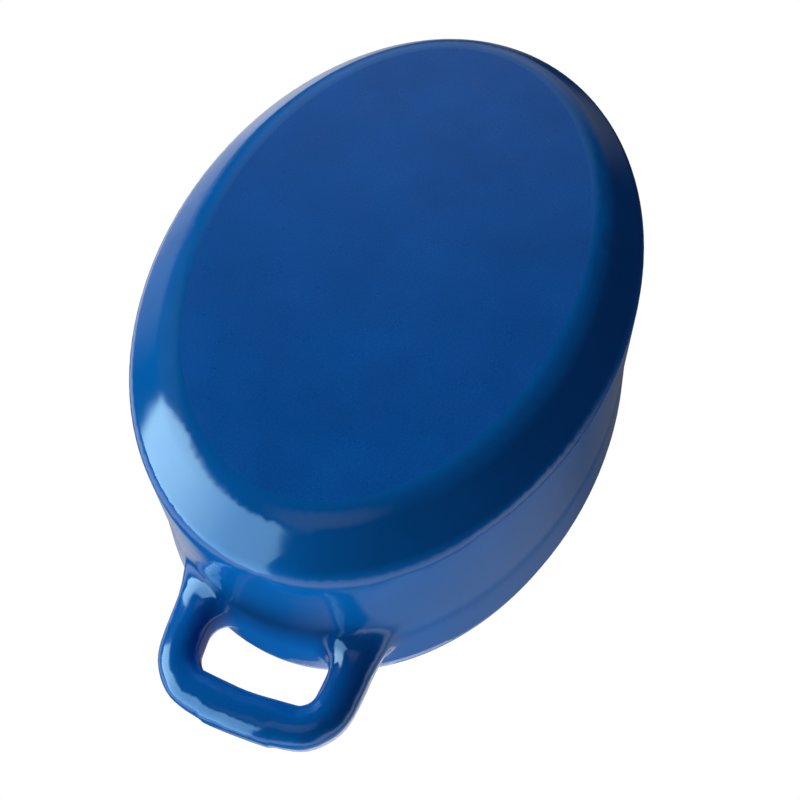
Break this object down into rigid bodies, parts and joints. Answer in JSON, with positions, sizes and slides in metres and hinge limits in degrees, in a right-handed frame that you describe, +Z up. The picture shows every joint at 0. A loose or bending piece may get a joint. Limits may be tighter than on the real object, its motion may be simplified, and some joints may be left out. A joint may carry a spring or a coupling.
{
  "type": "oval dutch oven",
  "caption": "Oval enamelled cast iron cooking pot with loop handles, a flat bevelled base and a domed lid that lifts off by its knob.",
  "frame": {"origin": "centre of the flat base, on the surface the pot stands on", "axes": "+Z up, +X along the long axis of the oval towards one loop handle"},
  "size_m": [0.372, 0.2136, 0.1615],
  "materials": {
    "pot_enamel": "blue enamel, gloss outside, satin base",
    "lid_enamel": "blue gloss enamel",
    "knob_steel": "polished stainless steel",
    "gasket": "matt black silicone",
    "fixing_steel": "plain stainless steel"
  },
  "bodies": {
    "pot": {"pot": "pot_enamel"},
    "lid": {"lid": "lid_enamel", "knob": "knob_steel", "knob_gasket": "gasket", "flat_washer": "fixing_steel", "spring_washer": "fixing_steel", "knob_screw": "fixing_steel"}
  },
  "joints": [
    {"name": "lid_lift", "type": "slide", "parent": "pot", "child": "lid", "axis": [0, 0, 1], "range_m": [0, 0.12]}
  ]
}
